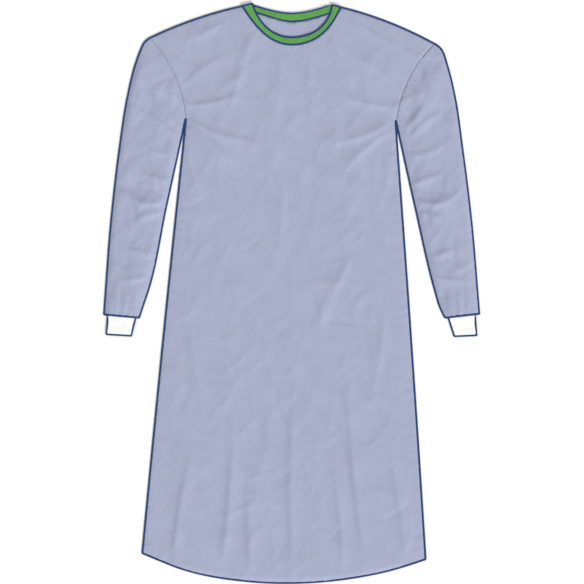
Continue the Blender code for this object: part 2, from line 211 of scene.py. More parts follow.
def flat_cloth(edges, cell):
    """Even triangles within joined edges: (points in the plane, triangles)."""
    outline = np.vstack([smooth_curve(edge, step=OUTLINE_STEP)[:-1, :2] for edge in edges])
    low, high = outline.min(axis=0), outline.max(axis=0)
    rows = np.arange(low[1] + cell / 2, high[1], cell * 3**0.5 / 2)
    columns = np.arange(low[0] + cell / 2, high[0], cell)
    x, y = np.meshgrid(columns, rows)
    x = x + (np.arange(len(rows)) % 2)[:, None] * cell / 2
    lattice = np.column_stack([x.ravel(), y.ravel()])
    lattice = lattice[inside(lattice, outline)]
    closed = np.column_stack([np.vstack([outline, outline[:1]]), np.zeros(len(outline) + 1)])
    lattice = lattice[nearest(lattice, closed)[0] > cell * EDGE_CLEAR]
    count = len(outline)
    points = [Vector(p) for p in np.vstack([outline, lattice])]
    border = [(i, (i + 1) % count) for i in range(count)]
    made = delaunay_2d_cdt(points, border, [], 1, 1e-7)
    return np.array([tuple(p) for p in made[0]]), np.array(made[2])


def solid_top(node, points):
    """Height of the top of a CAD node at each point in the plane."""
    shape = nodes_mesh(node)
    tree = BVHTree.FromBMesh(shape)
    heights = []
    for x, y in points:
        hit = tree.ray_cast(Vector((x, y, 1)), Vector((0, 0, -1)))[0]
        heights.append((hit or tree.find_nearest(Vector((x, y, 0.003)))[0]).z)
    shape.free()
    return np.array(heights)


def settled(heights, triangles, rounds):
    """Heights evened out between neighbours, so that the solid's facets don't show."""
    pairs = np.vstack([triangles[:, [0, 1]], triangles[:, [1, 2]], triangles[:, [2, 0]]])
    a, b = np.concatenate([pairs, pairs[:, ::-1]]).T
    share = 1 / np.maximum(np.bincount(a, minlength=len(heights)), 1)
    for _ in range(rounds):
        heights = np.bincount(a, weights=heights[b], minlength=len(heights)) * share
    return heights


def crease(points, start, end, half_width, height, bend=0.0):
    """A ridge that is steeper on one side, curves by bend, and dies out at both ends."""
    along = np.array(end, float) - start
    length = np.linalg.norm(along)
    along /= length
    away = points[:, :2] - start
    run = (away @ along) / length
    beside = away @ (-along[1], along[0]) - bend * 4 * run * (1 - run)
    root, tip = CREASE_SPREAD
    width = half_width * np.where(beside > 0, *CREASE_FLANKS)
    width *= root + (tip - root) * np.clip(run, 0, 1)
    crest = np.exp(-(np.abs(beside / width) ** CREST_SHARPNESS))
    ends = ramp(run / CREASE_STARTS) * ramp((1 - run) / CREASE_ENDS)
    return CREASE_SCALE * height * crest * ends


def crumple(points, cell, height, ridge):
    """The crazed lines of crumpled paper-like cloth, fading in and out."""
    total = np.empty(len(points))
    for i, (x, y) in enumerate(points[:, :2]):
        place = Vector((x, y * 0.8, 0)) / cell
        place += 0.35 * noise_vector(place * 0.9)
        near, second = voronoi(place)[0][:2]
        total[i] = np.exp(-(((second - near) / ridge) ** 2)) * (0.5 + noise_value(place * 0.45))
    return height * total


def fine_creases(points, seed, count, reach, heights, turn):
    """Small creases strewn over a piece: reach and heights are (least, most)."""
    random = np.random.default_rng(seed)
    low, high = points.min(axis=0), points.max(axis=0)
    total = np.zeros(len(points))
    for _ in range(count):
        start = random.uniform(low, high)
        angle = random.normal(pi / 2, turn)
        length = random.uniform(*reach)
        end = start + length * np.array([np.cos(angle), np.sin(angle)])
        height = random.uniform(*heights) * random.choice((-1, 1))
        width = random.uniform(*FINE_WIDTHS)
        bend = random.uniform(-FINE_BEND, FINE_BEND) * length
        total += crease(points, start, end, width, height, bend)
    return total


def puckers(points, curve, reach, wave, height):
    """Ripples across a seam where the thread has drawn the cloth up."""
    away, along = nearest(points, curve)
    turn = along * 2 * pi / wave
    drift = np.sin(turn / 5.3) * 1.3 + np.sin(turn / 11) * 2  # so that no two ripples are alike
    ripple = np.sin(turn + drift) * (0.6 + 0.4 * np.sin(turn / 7))
    return height * ripple * np.exp(-((away / reach) ** 2)) * ramp(away / PUCKER_CLEAR)


CREASE_SCALE = 1.3
CREST_SHARPNESS = 1.4  # 2 is a round crest, and 1 a sharp one
CREASE_FLANKS = (0.7, 1.3)  # width of its steep and its gentle side
CREASE_SPREAD = (0.7, 1.3)  # width at its start and at its end
CREASE_STARTS = 0.25  # share of its length over which it rises, and then dies out
CREASE_ENDS = 0.5
FINE_WIDTHS = (0.006, 0.013)
FINE_BEND = 0.12
PUCKER_CLEAR = 0.004  # the cloth is flat at the seam itself


def add_mesh(name, points, faces, finish):
    mesh = bpy.data.meshes.new(name)
    mesh.from_pydata([tuple(p) for p in points.tolist()], [], [tuple(f) for f in faces])
    mesh.materials.append(finish)
    mesh.shade_smooth()
    made = bpy.data.objects.new(name, mesh)
    bpy.context.scene.collection.objects.link(made)
    return made


def outward_normals(made):
    shape = bmesh.new()
    shape.from_mesh(made.data)
    bmesh.ops.recalc_face_normals(shape, faces=shape.faces)
    shape.to_mesh(made.data)
    shape.free()


def add_cloth(name, layers, finish):
    """Layers of (plane points, triangles, underside heights), each with the cloth's thickness."""
    points, faces, first = [], [], 0
    for plan, triangles, heights in layers:
        points.append(np.column_stack([plan, heights]))
        faces.extend((triangles + first).tolist())
        first += len(plan)
    made = add_mesh(name, np.vstack(points), faces, finish)
    if made.data.polygons[0].normal.z < 0:
        made.data.flip_normals()
    thickness = made.modifiers.new("thickness", "SOLIDIFY")
    thickness.thickness = CLOTH
    thickness.offset = 1
    return made


# Serged edges


def thread_rings(curve, across, up, half_width, half_height):
    """Rings of points round a curve: a flattened cord of slanted wraps that tapers at its ends."""
    along = lengths(curve)[:, None]
    around = np.linspace(0, 2 * pi, AROUND, endpoint=False)[None, :]
    wraps = 1 - THREAD_RELIEF * (0.5 - 0.5 * np.cos(2 * pi * along / THREAD_PITCH + around))
    from_end = np.clip(np.minimum(along, along[-1] - along) / half_width, THREAD_TIP, 1)
    size = wraps * np.sqrt(from_end * (2 - from_end))
    side = (rounded(np.cos(around), THREAD_SQUARENESS) * half_width * size)[..., None] * across[:, None]
    rise = (rounded(np.sin(around), THREAD_SQUARENESS) * half_height * size)[..., None] * up[:, None]
    return curve[:, None] + side + rise


def rounded(share, squareness):
    """A share from -1 to 1 pushed outwards, which squares off an ellipse."""
    return np.sign(share) * np.abs(share) ** squareness


def tube_faces(rings, first=0):
    """Faces between rings of points, with a cap at each end; first is the first point's number."""
    count, around = rings.shape[:2]
    ring, step = np.meshgrid(np.arange(count - 1), np.arange(around), indexing="ij")
    a = ring * around + step + first
    b = ring * around + (step + 1) % around + first
    faces = np.stack([a, b, b + around, a + around], axis=-1).reshape(-1, 4).tolist()
    faces.append(list(range(first + around - 1, first - 1, -1)))
    faces.append(list(range(first + (count - 1) * around, first + count * around)))
    return faces


def upright(line, across, width, height):
    """A cord along a line, with its height along +Z."""
    return line, across, np.tile([0.0, 0.0, 1.0], (len(line), 1)), width / 2, height / 2


def add_thread(name, cords):
    """Serged edges as one mesh; each cord is (curve, across, up, half width, half height)."""
    points, faces, first = [], [], 0
    for cord in cords:
        rings = thread_rings(*cord)
        faces.extend(tube_faces(rings, first))
        points.append(rings.reshape(-1, 3))
        first += len(points[-1])
    made = add_mesh(name, np.vstack(points), faces, materials["thread"])
    outward_normals(made)
    return made


def serged(curve, inward, height=SERGE_HEIGHT, cloth=None, start=CORNER_REACH, end=CORNER_REACH):
    """A cord along an edge of the outline; inward is 1 if the cloth is to the curve's left.

    It lies at SERGE_LEVEL, or on cloth = (points in the plane, heights) where that is given,
    and runs on past the edge's start and end.
    """
    line = longer(smooth_curve(curve, step=THREAD_STEP), start, end)
    left = plan_left(line)
    line = line + left * inward * (SERGE_WIDTH / 2 - SERGE_OVERHANG)
    line[:, 2] = SERGE_LEVEL if cloth is None else level_along(line, *cloth, CORD_WINDOW)
    return upright(line, left, SERGE_WIDTH, height)


def longer(curve, start=CORNER_REACH, end=CORNER_REACH):
    """The curve carried straight on past its ends."""
    first = curve[0] + (curve[0] - curve[1]) / np.linalg.norm(curve[0] - curve[1]) * start
    last = curve[-1] + (curve[-1] - curve[-2]) / np.linalg.norm(curve[-1] - curve[-2]) * end
    return np.vstack([first[None], curve, last[None]])


def level_along(line, plan, heights, window):
    """The cloth's heights along a line, evened out over an odd number of its points."""
    tree = KDTree(len(plan))
    for i, (x, y) in enumerate(plan):
        tree.insert((x, y, 0), i)
    tree.balance()
    found = heights[[tree.find((x, y, 0))[1] for x, y in line[:, :2]]]
    weights = np.hanning(window + 2)[1:-1]
    padded = np.pad(found, window // 2, mode="edge")
    return np.convolve(padded, weights / weights.sum(), mode="valid")


CORD_WINDOW = 21
SEAM_WINDOW = 1


# Materials


def new_material(name, colour, roughness, sheen=0.0):
    """A material and its nodes; colour is sRGB from 0 to 255."""
    made = bpy.data.materials.new(name)
    made.use_nodes = True
    shader = made.node_tree.nodes["Principled BSDF"]
    shader.inputs["Roughness"].default_value = roughness
    shader.inputs["Sheen Weight"].default_value = sheen
    shader.inputs["Sheen Roughness"].default_value = 0.6
    shader.inputs["Specular IOR Level"].default_value = 0.25
    shader.inputs["Base Color"].default_value = linear(colour)
    return made, shader


def linear(colour):
    """sRGB from 0 to 255 as a linear colour."""
    shares = [c / 255 for c in colour]
    return (*(s / 12.92 if s <= 0.04045 else ((s + 0.055) / 1.055) ** 2.4 for s in shares), 1)


def node(material, kind, **values):
    """A node with its sockets and settings set by name."""
    made = material.node_tree.nodes.new(kind)
    for name, value in values.items():
        socket = name.replace("_", " ")
        if socket in made.inputs:
            made.inputs[socket].default_value = value
        else:
            setattr(made, name, value)
    return made


def join(material, out, into):
    material.node_tree.links.new(out, into)


def noise(material, place, size, detail=3.0, roughness=0.55):
    """Noise whose features are about size across, in metres."""
    made = node(material, "ShaderNodeTexNoise", Scale=1 / size, Detail=detail, Roughness=roughness)
    join(material, place, made.inputs["Vector"])
    return made.outputs["Fac"]


def two_tone(material, factor, dark, light, low=0.35, high=0.65):
    """A colour ramp between two tones."""
    made = node(material, "ShaderNodeValToRGB")
    first, last = made.color_ramp.elements
    first.position, first.color = low, linear(dark)
    last.position, last.color = high, linear(light)
    join(material, factor, made.inputs["Fac"])
    return made.outputs["Color"]


def mixed(material, factor, a, b):
    """Two colours mixed by a factor."""
    made = node(material, "ShaderNodeMix", data_type="RGBA")
    sockets = {s.identifier: s for s in made.inputs}
    for value, key in ((factor, "Factor_Float"), (a, "A_Color"), (b, "B_Color")):
        if isinstance(value, (float, tuple)):
            sockets[key].default_value = value
        else:
            join(material, value, sockets[key])
    return next(s for s in made.outputs if s.identifier == "Result_Color")


def bump(material, height, distance, onto=None):
    """A bump of height (0 to 1) times distance in metres, over another bump."""
    made = node(material, "ShaderNodeBump", Distance=distance, Strength=1.0)
    join(material, height, made.inputs["Height"])
    if onto is not None:
        join(material, onto, made.inputs["Normal"])
    return made.outputs["Normal"]


def object_place(material):
    """Places on the object itself, in metres."""
    return node(material, "ShaderNodeTexCoord").outputs["Object"]


def cloth_material():
    """Spunbond nonwoven: random fibres in soft clouds, pressed by a grid of bond points."""
    made, shader = new_material("nonwoven", CLOTH_COLOUR, 0.72, sheen=0.15)
    place = object_place(made)
    clouds = two_tone(made, noise(made, place, 0.045, 2), CLOTH_DARK, CLOTH_LIGHT)
    fibres = two_tone(made, noise(made, place, 0.0035, 5, 0.7), CLOTH_DARK, CLOTH_LIGHT, 0.3, 0.7)
    join(made, mixed(made, 0.6, clouds, fibres), shader.inputs["Base Color"])
    bonds = node(made, "ShaderNodeTexVoronoi", Scale=1 / BOND_PITCH, Randomness=0.15)
    join(made, place, bonds.inputs["Vector"])
    soft = bump(made, noise(made, place, 0.006, 4, 0.65), 0.00035)
    normal = bump(made, bonds.outputs["Distance"], 0.00012, soft)
    join(made, normal, shader.inputs["Normal"])
    return made


def tape_material():
    """Plain-woven binding cut on the bias, so its threads run at 45 degrees."""
    made, shader = new_material("binding", TAPE_COLOUR, 0.7, sheen=0.2)
    place = object_place(made)
    tone = two_tone(made, noise(made, place, 0.008, 4), TAPE_DARK, TAPE_LIGHT)
    join(made, tone, shader.inputs["Base Color"])
    normal = None
    for angle in (45, -45):
        turned = node(made, "ShaderNodeMapping", Rotation=(0, 0, radians(angle)))
        join(made, place, turned.inputs["Vector"])
        weave = node(made, "ShaderNodeTexWave", Scale=WAVE_LENGTH / WEAVE_PITCH, Distortion=0.4)
        join(made, turned.outputs["Vector"], weave.inputs["Vector"])
        normal = bump(made, weave.outputs["Fac"], 0.00010, normal)
    join(made, normal, shader.inputs["Normal"])
    return made


def knit_material():
    """Off-white rib knit; the ribs are modelled, and the stitches along them are bump."""
    made, shader = new_material("rib_knit", KNIT_COLOUR, 0.85, sheen=0.25)
    place = object_place(made)
    tone = two_tone(made, noise(made, place, 0.006, 4), KNIT_DARK, KNIT_LIGHT)
    join(made, tone, shader.inputs["Base Color"])
    stitches = node(made, "ShaderNodeTexWave", Scale=WAVE_LENGTH / STITCH_PITCH, Distortion=1.0)
    stitches.bands_direction = "Y"
    join(made, place, stitches.inputs["Vector"])
    fuzz = bump(made, noise(made, place, 0.0012, 3), 0.00005)
    join(made, bump(made, stitches.outputs["Fac"], 0.00010, fuzz), shader.inputs["Normal"])
    return made


def thread_material():
    """Navy textured thread; its wraps are modelled."""
    made, shader = new_material("thread", THREAD_COLOUR, 0.55, sheen=0.1)
    place = object_place(made)
    tone = two_tone(made, noise(made, place, 0.004, 3), THREAD_DARK, THREAD_LIGHT)
    join(made, tone, shader.inputs["Base Color"])
    join(made, bump(made, noise(made, place, 0.0006, 2), 0.00010), shader.inputs["Normal"])
    return made


def floor_material():
    """A pale floor, almost white."""
    made, shader = new_material("pale_floor", FLOOR_COLOUR, 0.9)
    place = object_place(made)
    tone = two_tone(made, noise(made, place, 0.5, 2), FLOOR_COLOUR, FLOOR_LIGHT)
    join(made, tone, shader.inputs["Base Color"])
    return made


CLOTH_COLOUR = (164, 170, 195)
CLOTH_DARK = (160, 166, 191)
CLOTH_LIGHT = (168, 174, 199)
TAPE_COLOUR = (88, 158, 73)
TAPE_DARK = (84, 153, 69)
TAPE_LIGHT = (92, 163, 77)
KNIT_COLOUR = (250, 250, 248)
KNIT_DARK = (247, 247, 245)
KNIT_LIGHT = (252, 252, 250)
THREAD_COLOUR = (14, 56, 110)
THREAD_DARK = (11, 51, 103)
THREAD_LIGHT = (18, 61, 117)
FLOOR_COLOUR = (252, 252, 252)
FLOOR_LIGHT = (254, 254, 254)
BOND_PITCH = 0.0021
WEAVE_PITCH = 0.0013
STITCH_PITCH = 0.0016
WAVE_LENGTH = pi / 10  # of Blender's wave texture at scale 1


# Flat cuts


def cut(outline, plies=1):
    """((width, length), area) of a piece's cut, with the plies of a tube side by side."""
    x, y = np.vstack(outline)[:, :2].T
    area = float(abs(x @ np.roll(y, 1) - y @ np.roll(x, 1)) / 2)
    return (plies * float(np.ptp(x)), float(np.ptp(y))), plies * area


def tape_cut():
    """((mean width, length), area) of the strip between the neckband's two sides."""
    neck_side, cloth_side = neckband_edges()
    middle = (neck_side + cloth_side) / 2
    slices = np.cross(np.diff(middle, axis=0), (cloth_side - neck_side)[1:])
    area, length = float(np.linalg.norm(slices, axis=1).sum()), float(lengths(middle)[-1])
    return (area / length, length), area


# Front and backs


def front_edges():
    """The front's edges by name, in order counter-clockwise."""
    loop = upper_loops("front")[0]
    at = {"hem_right": extreme(loop, -0.5, -1), "hem_left": extreme(loop, 0.5, -1)}
    for side, sign in SIDES.items():
        at[f"armpit_{side}"] = closest(loop, sleeve_edges(side)["underarm"][0])
        at[f"tip_{side}"] = extreme(loop, sign, 0.2)
        at[f"neck_{side}"] = extreme(loop, 0.2 * sign, 1)
    return sewn_to_sleeves({
        "hem": stretch(loop, at["hem_right"], at["hem_left"]),
        "side_left": stretch(loop, at["hem_left"], at["armpit_left"]),
        "armhole_left": stretch(loop, at["armpit_left"], at["tip_left"]),
        "shoulder_left": stretch(loop, at["tip_left"], at["neck_left"]),
        "neckline": stretch(loop, at["neck_left"], at["neck_right"]),
        "shoulder_right": stretch(loop, at["neck_right"], at["tip_right"]),
        "armhole_right": stretch(loop, at["tip_right"], at["armpit_right"]),
        "side_right": stretch(loop, at["armpit_right"], at["hem_right"]),
    })


def sewn_to_sleeves(edges):
    """The edges with each armhole, and the ends that meet it, moved onto the sleeve's edge."""
    for side, sign in SIDES.items():
        armhole = sleeve_edges(side)["armhole"][::-sign]
        end = -1 if sign > 0 else 0
        for name, index in ((f"side_{side}", end), (f"shoulder_{side}", -1 - end)):
            edges[name] = edges[name].copy()
            edges[name][index] = armhole[0 if (name.startswith("side") == (sign > 0)) else -1]
        edges[f"armhole_{side}"] = armhole
    return edges


def back_edges(side):
    """A back panel's edges by name, in order counter-clockwise."""
    sign = SIDES[side]
    loop = upper_loops(f"back_{side}")[0]
    hem, free_hem = extreme(loop, 0.5 * sign, -1), extreme(loop, -sign, -1)
    tip, neck = extreme(loop, sign, 0.2), extreme(loop, 0.2 * sign, 1)
    free_neck = extreme(loop, -2 * sign, 1)
    armpit = closest(loop, sleeve_edges(side)["underarm"][0])
    corners = [
        ("hem", free_hem),
        ("side", hem),
        ("armhole", armpit),
        ("shoulder", tip),
        ("nape", neck),
        ("free_edge", free_neck),
    ]
    if sign < 0:
        names = ["free_edge", "nape", "shoulder", "armhole", "side", "hem"]
        corners = list(zip(names, [free_hem, free_neck, neck, tip, armpit, hem]))
    ends = [index for _, index in corners[1:] + corners[:1]]
    return {name: stretch(loop, start, end) for (name, start), end in zip(corners, ends)}


def armpit_creases(points, armpit, sign):
    """Drag lines that fan out from the armpit over the chest, down the side and into the sleeve."""
    total = np.zeros(len(points))
    for start, end, width, height, bend in ARMPIT_FAN:
        first = armpit[:2] + np.array(start) * (sign, 1)
        last = armpit[:2] + np.array(end) * (sign, 1)
        total += crease(points, first, last, width, height, bend * sign)
    return total


def upper_creases(points):
    """Creases of everything that faces up, the same on both sides of an armhole seam."""
    total = fine_creases(points, *UPPER_FINE)
    for shift, cell, height, ridge in CRUMPLES:
        total += crumple(points + shift, cell, height, ridge)
    for start, end, width, height, bend in BODY_CREASES:
        total += crease(points, start, end, width, height, bend)
    for side, sign in SIDES.items():
        total += armpit_creases(points, sleeve_edges(side)["underarm"][0], sign)
        for start, end, width, height, bend in SLEEVE_CREASES:
            first, last = np.array(start) * (sign, 1), np.array(end) * (sign, 1)
            total += crease(points, first, last, width, height, bend * sign)
    return total


def away_from(points, curves):
    """Distance of each point to the nearest of several curves."""
    return np.min([nearest(points, curve)[0] for curve in curves], axis=0)


def seam_groove(points, armhole):
    away = nearest(points, armhole)[0]
    return SEAM_GROOVE * np.exp(-((away / SEAM_REACH) ** 2))


def brought_together(front_points, front_levels, sleeve_points, sleeve_levels, armhole):
    """Both pieces' heights, drawn to one level where the armhole seam joins them."""
    seam = smooth_curve(armhole, step=OUTLINE_STEP)
    pieces = [(front_points, front_levels), (sleeve_points, sleeve_levels)]
    at_seam = [level_along(seam, points, levels, SEAM_WINDOW) for points, levels in pieces]
    shared = (at_seam[0] + at_seam[1]) / 2
    made = []
    for (points, levels), own in zip(pieces, at_seam):
        away, along = nearest(points, armhole)
        shift = np.interp(along, lengths(seam), shared - own)
        made.append(levels + shift * np.exp(-((away / MEETING_REACH) ** 2)))
    return made


def front_heights(points, triangles, edges):
    """Underside of the front: the solid's own level and folds, with finer creases."""
    heights = settled(solid_top("front", points) - CAD_WALL, triangles, FRONT_ROUNDS)
    outer = ["hem", "side_left", "side_right", "shoulder_left", "shoulder_right"]
    from_edge = away_from(points, [edges[name] for name in outer])
    from_neck = nearest(points, edges["neckline"])[0]
    free = ramp(np.minimum(from_edge, from_neck) / CREASE_FADE)
    heights = heights + upper_creases(points) * free
    for name in outer:
        heights += puckers(points, edges[name], *EDGE_PUCKERS)
    heights += puckers(points, edges["neckline"], *NECK_PUCKERS)
    for side in SIDES:
        heights -= seam_groove(points, edges[f"armhole_{side}"])
    heights = np.maximum(heights, np.minimum(FRONT_LEAST, EDGE_LEVEL + from_edge * LEAST_SLOPE))
    return EDGE_LEVEL + (heights - EDGE_LEVEL) * ramp(from_edge / EDGE_FALL)


# Creases: (start, end, half width, height, bend)
ARMPIT_FAN = [  # from the armpit
    ((0.010, 0.030), (-0.150, 0.070), 0.0090, 0.0026, 0.012),
    ((0.004, 0.006), (-0.190, -0.050), 0.0120, 0.0034, 0.018),
    ((-0.002, -0.016), (-0.135, -0.140), 0.0110, 0.0028, -0.010),
    ((-0.002, -0.040), (-0.060, -0.230), 0.0100, 0.0022, 0.012),
    ((0.010, 0.070), (-0.120, 0.150), 0.0100, 0.0018, -0.010),
    ((-0.020, 0.016), (0.080, 0.070), 0.0090, 0.0020, 0.006),
]
BODY_CREASES = [
    # from the hem up
    ((-0.262, -0.600), (-0.205, -0.300), 0.012, 0.0030, 0.008),
    ((-0.160, -0.625), (-0.128, -0.210), 0.014, 0.0034, -0.010),
    ((-0.085, -0.635), (-0.095, -0.380), 0.011, 0.0024, 0.006),
    ((0.004, -0.640), (0.012, -0.120), 0.013, 0.0030, 0.010),
    ((0.112, -0.630), (0.080, -0.300), 0.012, 0.0028, -0.007),
    ((0.166, -0.620), (0.120, -0.060), 0.014, 0.0032, 0.012),
    ((0.252, -0.600), (0.200, -0.280), 0.012, 0.0026, -0.006),
    # over the middle
    ((-0.150, 0.060), (-0.040, -0.170), 0.013, 0.0022, 0.016),
    ((0.145, 0.100), (0.060, -0.120), 0.013, 0.0024, -0.014),
    ((-0.020, 0.260), (-0.050, 0.020), 0.012, 0.0018, 0.010),
    ((0.205, -0.020), (0.165, -0.260), 0.011, 0.0022, 0.008),
    ((-0.225, -0.060), (-0.175, -0.290), 0.011, 0.0022, -0.008),
    # from the neck
    ((-0.075, 0.575), (-0.130, 0.400), 0.011, 0.0020, -0.010),
    ((0.075, 0.575), (0.140, 0.410), 0.011, 0.0022, 0.010),
    ((-0.025, 0.535), (-0.045, 0.330), 0.012, 0.0018, 0.006),
    ((0.040, 0.538), (0.055, 0.360), 0.010, 0.0014, -0.006),
    # along the shoulders
    ((-0.130, 0.606), (-0.275, 0.540), 0.010, 0.0020, 0.006),
    ((0.130, 0.600), (0.275, 0.528), 0.010, 0.0020, -0.006),
]
UPPER_FINE = (11, 300, (0.04, 0.16), (0.0003, 0.0010), 0.6)  # arguments of fine_creases
CRUMPLES = [(0, 0.085, 0.0012, 0.14), (5, 0.038, 0.0006, 0.20)]  # (shift, cell, height, ridge)
CREASE_FADE = 0.030
SEAM_GROOVE = 0.0003
SEAM_REACH = 0.0040
MEETING_REACH = 0.0150
FRONT_LEAST = 0.0022  # least height of the front's underside, away from its edges
LEAST_SLOPE = 0.05  # how that least height rises from the edge
FRONT_ROUNDS = 25
EDGE_PUCKERS = (0.016, 0.024, 0.0008)  # reach, wave and height
NECK_PUCKERS = (0.014, 0.016, 0.0005)


def back_heights(side, points, triangles, edges):
    """Underside of a back: flat where it rests, and drawn up a little into the serged edges."""
    heights = settled(solid_top(f"back_{side}", points) - CAD_WALL, triangles, BACK_ROUNDS)
    heights = heights + np.abs(fine_creases(points, *BACK_FINE))
    for start, end, width, height, bend in NAPE_CREASES:
        heights += crease(points, start, end, width, height, bend)
    away = away_from(points, [edges[name] for name in ("hem", "side", "shoulder")])
    return BACK_EDGE + (np.maximum(heights, BACK_LEAST) - BACK_EDGE) * ramp(away / EDGE_FALL)


NAPE_CREASES = [
    ((-0.045, 0.606), (-0.070, 0.500), 0.009, 0.0012, 0.006),
    ((0.050, 0.606), (0.078, 0.490), 0.009, 0.0012, -0.006),
    ((0.012, 0.585), (0.006, 0.450), 0.012, 0.0006, 0.004),
]
BACK_FINE = (23, 70, (0.06, 0.20), (0.0002, 0.0006), 0.7)
BACK_ROUNDS = 12
BACK_EDGE = 0.0004
BACK_LEAST = 0.0001


# Sleeves and cuffs


def forward(points):
    """The points that lead on from the first towards the last."""
    chord = points[-1] - points[0]
    kept = [points[0]]
    for point in points[1:-1]:
        if (point - kept[-1]) @ chord > 0.001 * np.linalg.norm(chord):
            kept.append(point)
    return np.array([*kept, points[-1]])


def sleeve_edges(side):
    """A sleeve's edges by name; the underarm starts at the armpit, the overarm at the tip."""
    sign = SIDES[side]
    loop = upper_loops(f"sleeve_{side}")[0][::sign]
    armpit, tip = extreme(loop, -sign, 0), extreme(loop, 0, 1)
    wrist_outer, wrist_inner = extreme(loop, sign, 0), extreme(loop, 0, -1)
    return {
        "underarm": forward(stretch(loop, armpit, wrist_inner)),
        "hem": stretch(loop, wrist_inner, wrist_outer),
        "overarm": forward(stretch(loop, wrist_outer, tip)[::-1]),
        "armhole": stretch(loop, tip, armpit),
    }


def around_sleeve(edges):
    return [edges["underarm"], edges["hem"], edges["overarm"][::-1], edges["armhole"]]


def sleeve_layers(side):
    """The upper and the lower ply of a sleeve, which meet in its two serged seams."""
    edges = sleeve_edges(side)
    plan, triangles = flat_cloth(around_sleeve(edges), SLEEVE_CELL)
    heights = settled(solid_top(f"sleeve_{side}", plan) - CAD_WALL, triangles, SLEEVE_ROUNDS)
    seams = [edges["underarm"], edges["overarm"]]
    from_seam = away_from(plan, seams)
    heights = heights + upper_creases(plan) * ramp(from_seam / SLEEVE_CREASE_FADE)
    for seam in seams:
        heights += puckers(plan, seam, *ARM_PUCKERS)
    heights += puckers(plan, edges["hem"], *WRIST_PUCKERS)
    heights -= seam_groove(plan, edges["armhole"])
    heights = np.maximum(heights, EDGE_LEVEL + CLOTH)
    fall = ramp(from_seam / EDGE_FALL)
    upper = EDGE_LEVEL + (heights - EDGE_LEVEL) * fall
    lower = BACK_EDGE + (BACK_LEAST - BACK_EDGE) * fall
    return [(plan, triangles, upper), (plan, triangles, lower)]


SLEEVE_ROUNDS = 12
ARM_PUCKERS = (0.014, 0.019, 0.0008)
WRIST_PUCKERS = (0.030, 0.0125, 0.0011)
SLEEVE_CREASE_FADE = 0.018
SLEEVE_CREASES = [
    # at the elbow
    ((0.262, 0.235), (0.345, 0.262), 0.0085, 0.0030, 0.006),
    ((0.268, 0.205), (0.368, 0.205), 0.0095, 0.0036, -0.008),
    ((0.275, 0.178), (0.352, 0.150), 0.0085, 0.0030, 0.006),
    ((0.380, 0.235), (0.305, 0.190), 0.0090, 0.0024, 0.006),
    # on the forearm
    ((0.300, 0.075), (0.384, 0.098), 0.0080, 0.0024, 0.005),
    ((0.308, 0.040), (0.392, 0.030), 0.0080, 0.0026, -0.005),
    ((0.398, 0.070), (0.345, 0.045), 0.0070, 0.0018, 0.003),
    # on the upper arm
    ((0.250, 0.330), (0.352, 0.410), 0.0100, 0.0026, 0.010),
    ((0.244, 0.355), (0.318, 0.480), 0.0110, 0.0028, -0.010),
    ((0.256, 0.300), (0.350, 0.340), 0.0090, 0.0020, -0.008),
    # from the cuff
    ((0.352, -0.052), (0.340, 0.030), 0.0060, 0.0018, 0.002),
    ((0.368, -0.050), (0.366, 0.020), 0.0055, 0.0016, 0.001),
    ((0.386, -0.048), (0.382, 0.045), 0.0060, 0.0020, -0.002),
    ((0.400, -0.046), (0.396, 0.010), 0.0050, 0.0014, 0.001),
]


def cuff_corners(side):
    """A cuff's corners: (inner, outer) inside the sleeve, (inner, outer) at its free end."""
    sign = SIDES[side]
    loop = upper_loops(f"cuff_{side}")[0]
    directions = [(-sign, 1), (sign, 1), (-sign, -1), (sign, -1)]
    corners = [loop[extreme(loop, *direction)] for direction in directions]
    return corners[:2], corners[2:]


def cuff_outline(side):
    (start_in, start_out), (end_in, end_out) = cuff_corners(side)
    return np.array([start_in, start_out, end_out, end_in])


def cuff_ring(inner, outer, base, height, count):
    """A flattened ring between two points with round ends: (points, outward vectors)."""
    half = np.linalg.norm((outer - inner)[:2]) / 2
    along = (outer - inner)[:2] / (2 * half)
    middle = (outer + inner)[:2] / 2
    radius = height / 2
    flat = half - radius
    perimeter = 4 * flat + 2 * pi * radius
    at = np.linspace(0, perimeter, count, endpoint=False)
    offset = np.empty((count, 2))
    outward = np.empty((count, 2))
    turn = pi * radius
    for i, s in enumerate(at):
        if s < 2 * flat:
            offset[i], outward[i] = (flat - s, radius), (0, 1)
        elif s < 2 * flat + turn:
            angle = pi / 2 + (s - 2 * flat) / radius
            outward[i] = (np.cos(angle), np.sin(angle))
            offset[i] = (-flat, 0) + radius * outward[i]
        elif s < 4 * flat + turn:
            offset[i], outward[i] = (s - 3 * flat - turn, -radius), (0, -1)
        else:
            angle = -pi / 2 + (s - 4 * flat - turn) / radius
            outward[i] = (np.cos(angle), np.sin(angle))
            offset[i] = (flat, 0) + radius * outward[i]
    points = np.column_stack([middle + offset[:, :1] * along, base + radius + offset[:, 1]])
    return points, np.column_stack([outward[:, :1] * along, outward[:, 1]])


